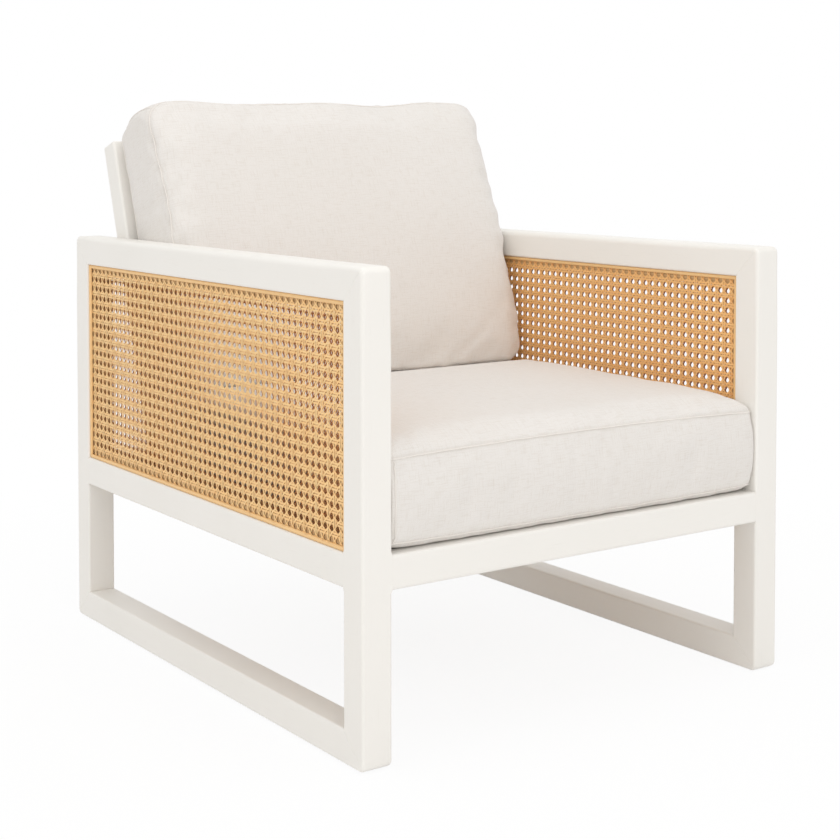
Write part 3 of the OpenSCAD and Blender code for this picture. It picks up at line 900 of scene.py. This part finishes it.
CLOTH_SHEEN = {"Sheen_Weight": 0.25, "Sheen_Roughness": 0.5}
linen = finish("ivory_linen", linen_recipe, Specular_IOR_Level=0.25, **CLOTH_SHEEN)

# %% [markdown]
# A box cushion is two panels joined by a long boxing strip. The foam and the fibre round
# it push every panel outwards, and the seams hold it back, so the shoulders rise steeply
# from the seam and the panel is nearly flat in the middle. The start shape is drawn as
# rings: over the lower panel, up the boxing, and over the upper panel. It is a little
# smaller than the cushion, because the cloth still swells.

# %% Rings of a box cushion
SIDE_STEPS, CORNER_STEPS = 26, 6
SHOULDER_SHARE, MIDDLE_SHARE = 0.80, 0.20   # of a panel's height


def pad_ring(a, b, r, pull, z):
    """A rounded rectangle of half sizes a and b at height z, drawn in between its corners."""
    ring = []
    for turn in range(4):
        u, v = (a, b) if turn % 2 == 0 else (b, a)
        arc = [math.pi / 2 * k / CORNER_STEPS for k in range(CORNER_STEPS + 1)]
        part = [(u - r + r * math.cos(t), v - r + r * math.sin(t)) for t in arc]
        part += [((u - r) * (1 - 2 * k / SIDE_STEPS), v) for k in range(1, SIDE_STEPS)]
        c, s = round(math.cos(math.pi / 2 * turn)), round(math.sin(math.pi / 2 * turn))
        ring += [(x * c - y * s, x * s + y * c) for x, y in part]
    return [(x * (1 - pull / a * (1 - (y / b) ** 2)), y * (1 - pull / b * (1 - (x / a) ** 2)), z)
            for x, y in ring]


def pad_form(pad):
    """Rings of a cushion: x and y from its middle, and z up through its thickness."""
    a, b, corner = pad["half_x"], pad["half_y"], pad["corner"]
    reach = min(a, b)

    def panel(s, seam, height):
        inset = s * reach * 0.985
        rim = min(inset / pad["shoulder"], 1)
        shoulder, middle = math.sqrt(1 - (1 - rim) ** 2), 1 - (1 - s) ** 2
        rise = SHOULDER_SHARE * shoulder + MIDDLE_SHARE * middle
        r = min(corner + inset * 0.35, reach - inset)
        return pad_ring(a - inset, b - inset, r, pad["pull"] * (1 - s), seam + rise * height)

    shares = [0.006, 0.018, 0.035, 0.06, 0.09, 0.13, 0.2, 0.3, 0.42, 0.55, 0.7, 0.85, 0.97]
    rings = [panel(s, pad["seam_low"], -pad["crown_low"]) for s in reversed(shares)]
    for t in (0, 0.08, 0.2, 0.35, 0.5, 0.65, 0.8, 0.92, 1):
        out = 1 - (2 * t - 1) ** 2
        z = pad["seam_low"] + t * (pad["seam_high"] - pad["seam_low"])
        rings.append(pad_ring(a + out * pad["bulge_x"], b + out * pad["bulge_y"],
                              corner + out * pad["bulge_x"], pad["pull"], z))
    return rings + [panel(s, pad["seam_high"], pad["crown_high"]) for s in shares]


print("cushion rings ready")

# %% [markdown]
# The swelling is a cloth simulation. The form is remeshed evenly, the seams and the face
# that rests on something are pinned, and air pressure pushes the panels out for twenty
# frames with gravity off. No point may move further than a cap. A light smoothing takes
# out the steps of the remesh, and one subdivision follows. The remesh loses UV maps, so
# the panels' maps and the seams' welts come after it.

# %% Stuffing a cushion
CLOTH_FRAMES = 20
VOXEL, PRESSURE = 7.5 * MM, 0.5   # grid of the remesh, and pressure of the filling


def column(items, key, width=3):
    """One property of all the items of a mesh, a row for each."""
    found = np.zeros(len(items) * width, int if width == 1 else float)
    items.foreach_get(key, found)
    return found if width == 1 else found.reshape(-1, width)


def stuffed(name, rings, cap, pinned):
    """Remeshes a form, swells it as cloth, and returns the smoothed mesh."""
    form = skinned_mesh(name, [v for ring in rings for v in ring], skin(rings))
    holder = add_object(name + "_form", form)
    remesh = holder.modifiers.new("even", "REMESH")
    remesh.mode, remesh.voxel_size = "VOXEL", VOXEL
    even = taken(holder)
    start = column(even.vertices, "co")
    holder = add_object(name + "_cloth", even)
    pins = holder.vertex_groups.new(name="pins")
    pins.add([int(i) for i in np.nonzero(pinned(start))[0]], 1.0, "ADD")
    cloth = holder.modifiers.new("cloth", "CLOTH")
    linen_cloth = {"quality": 6, "mass": 0.3, "tension_stiffness": 12,
                   "compression_stiffness": 12, "shear_stiffness": 5,
                   "bending_stiffness": 0.4, "shrink_min": -0.012, "use_pressure": True,
                   "uniform_pressure_force": PRESSURE, "vertex_group_mass": "pins"}
    for setting, value in linen_cloth.items():
        setattr(cloth.settings, setting, value)
    cloth.settings.effector_weights.gravity = 0
    cloth.collision_settings.use_collision = False
    cloth.point_cache.frame_start, cloth.point_cache.frame_end = 1, CLOTH_FRAMES
    for step in range(1, CLOTH_FRAMES + 1):
        bpy.context.scene.frame_set(step)
    swollen = column(baked(holder).vertices, "co")
    holder.modifiers.remove(cloth)
    bpy.context.scene.frame_set(1)
    move = swollen - start
    size = np.maximum(np.linalg.norm(move, axis=1, keepdims=True), 1e-9)
    moved = start + move / size * (cap * np.tanh(size / cap))
    even.vertices.foreach_set("co", moved.ravel())
    print(name, "swelled by up to", round(float(size.max()) / MM, 1), "mm before the cap")
    relax = holder.modifiers.new("relax", "SMOOTH")
    relax.factor, relax.iterations = 0.5, 4
    smooth = holder.modifiers.new("smooth", "SUBSURF")
    smooth.levels = smooth.render_levels = 1
    return taken(holder)


def smooth_noise(points, wave, seed):
    """Gentle noise from -1 to 1 at points in metres, as a few crossed cosines."""
    rng = np.random.default_rng(seed)
    total = np.zeros(len(points))
    for _ in range(7):
        direction = rng.normal(size=3)
        direction *= 2 * math.pi / (wave * rng.uniform(0.7, 1.5) * np.linalg.norm(direction))
        total += np.cos(points @ direction + rng.uniform(0, 2 * math.pi))
    return total / 3.5


def map_panels(mesh, low_seam, high_seam):
    """A UV map in metres: the two panels from above, the boxing strip from each side."""
    layer = mesh.uv_layers.new(name="panel")
    normals, centres = (column(mesh.polygons, key) for key in ("normal", "center"))
    totals = column(mesh.polygons, "loop_total", 1)
    face_of = np.repeat(np.arange(len(totals)), totals)
    flat = (centres[:, 2] > high_seam(centres)) | (centres[:, 2] < low_seam(centres))
    side_x = np.abs(normals[:, 0]) > np.abs(normals[:, 1])
    p = column(mesh.vertices, "co")[column(mesh.loops, "vertex_index", 1)]
    uv = np.where(side_x[face_of][:, None], p[:, [1, 2]], p[:, [0, 2]])
    uv = np.where(flat[face_of][:, None], p[:, [0, 1]], uv)
    layer.data.foreach_set("uv", uv.ravel())


print("stuffing ready")

# %% [markdown]
# Each panel is joined to the boxing with a thin welt of the same linen, and a row of
# stitches runs beside one seam of each cushion: the upper one of the seat, the front one
# of the back. The welt is a tube along the seam's path, partly sunk in the cloth, and the
# stitches are one small bead, set along a second path. Both follow a path, so one
# Geometry Nodes tree makes them: it turns the path into a curve, skins the tube, and sets
# the beads at an even pitch.

# %% Seam tree
def seam_tree():
    tree = bpy.data.node_groups.new("sewn_seam", "GeometryNodeTree")
    graph = Graph(tree)
    size = group_inputs(graph, {"Welt radius": 0.0011, "Stitch pitch": 0.0042,
                                "Stitch length": 0.0030, "Stitch radius": 0.0003,
                                "Material": None}, path=True)
    apart = graph.add("GeometryNodeSeparateGeometry", {"domain": "POINT"},
                      {"Geometry": size["Geometry"],
                       "Selection": fetch(graph, "BOOLEAN", "beside")})
    stitch_path, welt_path = (
        graph.wire("GeometryNodeMeshToCurve", None, {"Mesh": Wire(apart.outputs[name])})
        for name in ("Selection", "Inverted"))
    welt = tube(graph, welt_path, circle(graph, 8, size["Welt radius"]))
    spots = graph.add("GeometryNodeCurveToPoints", {"mode": "LENGTH"},
                      {"Curve": stitch_path, "Length": size["Stitch pitch"]})
    half = size["Stitch length"] * 0.5
    bead_path = graph.wire("GeometryNodeCurvePrimitiveLine", None,
                           {"Start": graph.vector(0, 0, -half), "End": graph.vector(0, 0, half)})
    four_points = graph.wire("GeometryNodeResampleCurve", {"mode": "COUNT"},
                              {"Curve": bead_path, "Count": 4})
    _, _, z = graph.parts(graph.wire("GeometryNodeInputPosition"))
    sunk = graph.wire("GeometryNodeSetPosition", None, {
        "Geometry": four_points,
        "Offset": graph.vector(abs(z) / half * size["Stitch radius"] * -1.2, 0, 0)})
    bead = tube(graph, sunk, circle(graph, 4, size["Stitch radius"]))
    stitches = graph.wire("GeometryNodeInstanceOnPoints", None, {
        "Points": Wire(spots.outputs["Points"]), "Instance": bead,
        "Rotation": Wire(spots.outputs["Rotation"])})
    smooth = graph.wire("GeometryNodeSetShadeSmooth", None,
                        {"Geometry": graph.join([welt, stitches])})
    graph.give(graph.wire("GeometryNodeRealizeInstances", None, {"Geometry": smooth}),
               size["Material"])
    return tree


def thread_recipe(graph):
    twist = noise(graph, graph.place(), 1600, 2, 0.7)
    return {"Base Color": graph.blend(twist, colour(243, 239, 234), colour(226, 219, 211)),
            "Roughness": 0.85 + twist * 0.1, "Normal": graph.bump(0.4, 0.4 * MM, twist)}


thread = finish("linen_welt", thread_recipe, **CLOTH_SHEEN)
seams = seam_tree()
WELT_RISE = 0.4 * MM              # of a welt's middle over the cloth


def sew(name, cushion, place, body, closed_welts, open_welts, stitched):
    """Lays welts and a row of stitches on a cushion, along lines in its own frame."""
    surface = BVHTree.FromPolygons([v.co for v in cushion.vertices],
                                   [tuple(p.vertices) for p in cushion.polygons])
    verts, edges, beside = [], [], []
    lines = [(line, True, False) for line in closed_welts] + [(stitched, True, True)]
    lines += [(line, False, False) for line in open_welts]
    for line, closed, is_beside in lines:
        first, count = len(verts), len(line)
        steps = count if closed else count - 1
        for point in line:
            spot, normal, _, _ = surface.find_nearest(place @ Vector(point))
            verts.append(spot + normal * (0 if is_beside else WELT_RISE))
            beside.append(is_beside)
        edges += [(first + i, first + (i + 1) % count) for i in range(steps)]
    source = bpy.data.meshes.new(name)
    source.from_pydata(verts, edges, [])
    source.attributes.new("beside", "BOOLEAN", "POINT").data.foreach_set("value", beside)
    mesh = grow(name, seams, {"Material": thread}, source)
    show(name, mesh, body, [])
    print(name, "has", len(mesh.polygons), "faces")


print("seam tree written")

# %% [markdown]
# The seat cushion lies flat on the slats between the arms. Its front boxing bulges just
# past the frame, and its base is pinned, because the deck holds it flat. Below the lower
# seam the cloth turns under steeply, so only a thin line shows over the front rail. At
# the rear the top is pressed down by the back cushion.

# %% Seat cushion
SEAM_WIDTH = 3 * MM               # of the groove at a seam
PUCKER_REACH, PUCKER_WAVE = 14 * MM, 30 * MM

low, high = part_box("seat_cushion")
SEAT_FRONT = FRONT_Y + 0.5 * MM
seat = {"half_x": 0.3265, "half_y": (high.y - SEAT_FRONT) / 2 - 0.006, "corner": 0.010,
        "bulge_x": 0.0010, "bulge_y": 0.0080, "pull": 0.003, "shoulder": 0.034,
        "seam_low": 0.0070, "seam_high": 0.1190, "crown_low": 0.0075, "crown_high": 0.0255}
seat_middle = Vector((0, (high.y + SEAT_FRONT) / 2, low.z))


def seat_lift(points):
    """Lifts the lower seam at its corners, and the upper seam between its corners."""
    p = np.array(points, float)
    corner = np.clip((p[:, 0] / seat["half_x"]) ** 2 * (p[:, 1] / seat["half_y"]) ** 2, 0, 1)
    up = np.clip((p[:, 2] - seat["seam_low"]) / (seat["seam_high"] - seat["seam_low"]), 0, 1)
    p[:, 2] += up * (1 - corner) * 5 * MM + (1 - up) * corner ** 2 * 2.5 * MM
    return p


def seat_pins(co):
    near_top = np.abs(co[:, 2] - seat["seam_high"] - 2 * MM) < 6 * MM
    rim = np.abs(co[:, :2]) > (seat["half_x"] - 8 * MM, seat["half_y"] - 8 * MM)
    return (near_top & rim.any(axis=1)) | (co[:, 2] < seat["seam_low"])


def shaped(rings, warp):
    """Rings sent through a warp, as lists of plain points."""
    return [[tuple(v) for v in warp(ring)] for ring in rings]


def seam_ring(pad, z, grow_by=0.0):
    return pad_ring(pad["half_x"] + grow_by, pad["half_y"] + grow_by, pad["corner"], pad["pull"], z)


seat_mesh = stuffed("seat", shaped(pad_form(seat), seat_lift), 5 * MM, seat_pins)


def ring_distance(co, ring):
    """Distance of each point from a closed line of points."""
    ring = np.array(ring)
    best = np.full(len(co), 1e9)
    for a, b in zip(ring, np.roll(ring, -1, axis=0)):
        run = b - a
        t = np.clip((co - a) @ run / (run @ run), 0, 1)
        best = np.minimum(best, np.linalg.norm(co - a - t[:, None] * run, axis=1))
    return best


def creases(mesh, co, lines, seed, depth):
    """Puckers beside each seam and a groove in it. Also stores a painted shade along the seams on
    the mesh.
    """
    normals = column(mesh.vertices, "normal")
    near = np.full(len(co), 1e9)
    for i, line in enumerate(lines):
        distance = ring_distance(co, line)
        near = np.minimum(near, distance)
        groove = np.exp(-(distance / SEAM_WIDTH) ** 2)
        fade = np.exp(-(distance / PUCKER_REACH) ** 2) * (1 - groove)
        co = co + normals * (smooth_noise(co, PUCKER_WAVE, seed + i) * fade * depth)[:, None]
        co = co - normals * (groove * 1 * MM)[:, None]
    # Strength of the painted shade along each seam's groove, which the linen darkens by
    mark = mesh.attributes.new("crease", "FLOAT", "POINT")
    mark.data.foreach_set("value", np.exp(-(near / SEAM_WIDTH) ** 2))
    return co


def dressed(mesh, co, place, low_seam, high_seam):
    """Gives a cushion its last shape, its weave's layout, its linen and its place."""
    co[:, 0] = np.clip(co[:, 0], 1 * MM - IN_X, IN_X - 1 * MM)
    mesh.vertices.foreach_set("co", co.ravel())
    mesh.update()
    map_panels(mesh, low_seam, high_seam)
    mesh.materials.clear()
    mesh.materials.append(linen)
    mesh.shade_smooth()
    mesh.transform(place)


low_seam, top_seam, beside_top = shaped(
    [seam_ring(seat, z) for z in (seat["seam_low"], seat["seam_high"],
                                  seat["seam_high"] - 4.5 * MM)], seat_lift)
co = creases(seat_mesh, column(seat_mesh.vertices, "co"), [low_seam, top_seam], 11, 0.9 * MM)
inside = np.clip((co[:, 2] - seat["seam_low"]) / 0.02, 0, 1)
waves = smooth_noise(co, 0.24, 16) * 1.4 * MM * inside
co = co + column(seat_mesh.vertices, "normal") * waves[:, None]
free = np.clip((125 * MM - seat_middle.y - co[:, 1]) / 0.13, 0, 1)
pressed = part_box("back_cushion")[0].z - seat_middle.z + 0.018 * free * free * (3 - 2 * free)
co[:, 2] = np.clip(co[:, 2], 0, pressed)
foot = np.clip(co[:, 2] / seat["seam_low"], 0, 1)
co[:, 2] -= foot * (1 - foot ** 1.5) * seat["seam_low"]
seat_place = Matrix.Translation(seat_middle)
dressed(seat_mesh, co, seat_place, lambda c: seat["seam_low"] + 1 * MM,
        lambda c: seat["seam_high"] + 3 * MM)
seat_cushion = show("seat_cushion_sewn", seat_mesh, "seat_pad", ["seat_cushion"])
corner_seam = [(-seat["half_x"] + 6 * MM, -seat["half_y"] - 8 * MM, z)
               for z in np.linspace(seat["seam_low"], seat["seam_high"], 24)]
sew("seat_seams", seat_mesh, seat_place, "seat_pad", [top_seam, low_seam], [corner_seam],
    beside_top)

# %% [markdown]
# The back cushion leans on the rails and stands on the seat cushion. Its own frame has y
# up the lean and z forwards. The weight on its foot shears the lower part until the
# bottom boxing lies level, so the front panel comes out longer than the rear one, and the
# middle of the cushion is thicker than its top.

# %% Back cushion
BACK_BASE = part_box("back_cushion")[0].z
BACK_TOP = 0.4370                 # of the bulge at the top, up the lean from the foot
back_origin = Vector((0, POST_FOOT_Y + (BACK_BASE - RAIL_LOW) * math.tan(LEAN), BACK_BASE))
back = {"half_x": 0.3225, "half_y": BACK_TOP / 2, "corner": 0.026,
        "bulge_x": 0.0013, "bulge_y": 0.010, "pull": 0.002, "shoulder": 0.040,
        "seam_low": 0.026, "seam_high": 0.130, "crown_low": 0.024, "crown_high": 0.027}
back_middle = BACK_TOP - 0.010 - back["half_y"]


def lean_down(points):
    """Shears the foot level, and thickens the cushion below its top."""
    p = np.array(points, float)
    p[:, 1] += back_middle
    share = np.clip((BACK_TOP - p[:, 1]) / BACK_TOP, 0, 1.1)
    foot = -p[:, 2] * math.tan(LEAN)
    drop = np.clip(share * 1.25 - 0.25, 0, 1.2) ** 1.3
    p[:, 1] += (foot + 0.010) * drop
    near_top = np.clip((p[:, 1] - 0.25) / 0.17, 0, 1)
    slack = np.clip((-p[:, 0] - 0.250) / 0.070, 0, 1) ** 2
    p[:, 1] += near_top * (p[:, 0] / back["half_x"] * 2 * MM - slack * 10 * MM)
    forward = np.clip((p[:, 2] - back["seam_low"]) / (back["seam_high"] - back["seam_low"]), 0, 1)
    belly = np.sin(np.clip(share, 0, 1) ** 1.3 * math.pi)
    p[:, 2] += forward * belly * 0.018
    return p


front_seam, rear_seam, beside_front = shaped(
    [seam_ring(back, back["seam_high"]), seam_ring(back, back["seam_low"]),
     seam_ring(back, back["seam_high"] - 5 * MM, 1.5 * MM)], lean_down)


def back_pins(co):
    near = np.minimum(ring_distance(co, front_seam), ring_distance(co, rear_seam))
    return (near < 5 * MM) | (co[:, 1] < -co[:, 2] * math.tan(LEAN) + 6 * MM)


back_mesh = stuffed("back", shaped(pad_form(back), lean_down), 6 * MM, back_pins)
co = creases(back_mesh, column(back_mesh.vertices, "co"), [front_seam, rear_seam], 31, 1.3 * MM)
normals = column(back_mesh.vertices, "normal")
pulled = np.exp(-(ring_distance(co, front_seam) / (45 * MM)) ** 2)
co = co + normals * (smooth_noise(co * [0.35, 1, 1], 0.050, 41) * pulled * 3.0 * MM)[:, None]
co = co + normals * (smooth_noise(co, 0.26, 37) * 2.0 * MM)[:, None]
co[:, 2] = np.maximum(co[:, 2], 0.2 * MM)
front_line = np.array(front_seam)


def front_seam_z(centres):
    """Height of the front seam beside each face: it follows the belly of the cushion."""
    order = np.argsort(front_line[:, 1])
    return np.interp(centres[:, 1], front_line[order, 1], front_line[order, 2])


back_place = Matrix.Translation(back_origin) @ Matrix.Rotation(math.pi / 2 - LEAN, 4, "X")
dressed(back_mesh, co, back_place, lambda c: back["seam_low"], front_seam_z)
back_cushion = show("back_cushion_sewn", back_mesh, "back_pad", ["back_cushion"])
corner_seams = [[(end * (back["half_x"] - 5 * MM), back_middle + back["half_y"] - 5 * MM, z)
                 for z in np.linspace(back["seam_low"], back["seam_high"], 24)] for end in (-1, 1)]
sew("back_seams", back_mesh, back_place, "back_pad", [front_seam, rear_seam], corner_seams,
    beside_front)
print("back cushion from", round(min(v.co.z for v in back_mesh.vertices), 4), "to",
      round(max(v.co.z for v in back_mesh.vertices), 4))

# %% [markdown]
# A pale studio. The world lights everything evenly, and three broad lamps, overhead, in
# front and to the left, give the shapes a little form. What the camera sees behind the
# chair is plain white. The floor is white for the camera too, but keeps a share of its
# own shade, so the chair's shadow stays.

# %% Studio
SHADOW_KEPT, SHADOW_REACH = 0.12, 1.4   # share of the floor's own shade, and metres to its end


def white_for_camera(graph, shaded, keep):
    """Mixes a shader with plain white where the camera, a gloss or a glass ray looks."""
    rays = graph.add("ShaderNodeLightPath").outputs
    seen = Wire(rays["Is Camera Ray"]).most(Wire(rays["Is Glossy Ray"]))
    seen = seen.most(Wire(rays["Is Transmission Ray"]))
    white = graph.wire("ShaderNodeEmission" if keep is not None else "ShaderNodeBackground", None,
                       {"Color": (1, 1, 1, 1), "Strength": 1.0})
    share = seen * (1 - keep) if keep is not None else seen
    return graph.wire("ShaderNodeMixShader", None,
                      {"Fac": share, "Shader": shaded, "Shader_001": white})


world = bpy.data.worlds.new("studio")
bpy.context.scene.world = world
world.use_nodes = True
sky = Graph(world.node_tree)
world.node_tree.nodes.clear()
light = sky.wire("ShaderNodeBackground", None, {"Color": (1.0, 0.995, 0.985, 1), "Strength": 0.76})
sky.add("ShaderNodeOutputWorld", None, {"Surface": white_for_camera(sky, light, None)})

floor_mesh = bpy.data.meshes.new("floor")
FLOOR = 12.0
floor_mesh.from_pydata([(x * FLOOR, y * FLOOR, 0) for x, y in ((-1, -1), (1, -1), (1, 1), (-1, 1))],
                       [], [(0, 1, 2, 3)])
floor = add_object("floor", floor_mesh)
floor_finish = bpy.data.materials.new("studio_floor")
floor_finish.use_nodes = True
floor_finish.node_tree.nodes.clear()
ground = Graph(floor_finish.node_tree)
shade = ground.wire("ShaderNodeBsdfDiffuse", None, {"Color": (0.96, 0.96, 0.96, 1)})
x, y, _ = ground.parts(ground.wire("ShaderNodeTexCoord", None, None, "Object"))
away = ((x * x + y * y) ** 0.5 / SHADOW_REACH).least(1)
ground.add("ShaderNodeOutputMaterial", None,
           {"Surface": white_for_camera(ground, shade, (1 - away) * SHADOW_KEPT)})
floor_mesh.materials.append(floor_finish)


def area_lamp(name, place, aim, size, watts):
    data = bpy.data.lights.new(name, "AREA")
    data.shape, data.size, data.energy = "DISK", size, watts
    lamp = add_object(name, data)
    lamp.location = place
    lamp.rotation_euler = (Vector(aim) - Vector(place)).to_track_quat("-Z", "Y").to_euler()


area_lamp("overhead", (-0.4, -0.6, 3.2), (0, 0, 0.3), 2.6, 20)
area_lamp("front", (-0.9, -3.4, 1.8), (0, 0, 0.35), 2.4, 18)
area_lamp("left", (-3.4, -0.6, 1.5), (0, 0, 0.35), 2.2, 7)
bpy.context.scene.view_settings.view_transform = "Standard"
print("studio ready")
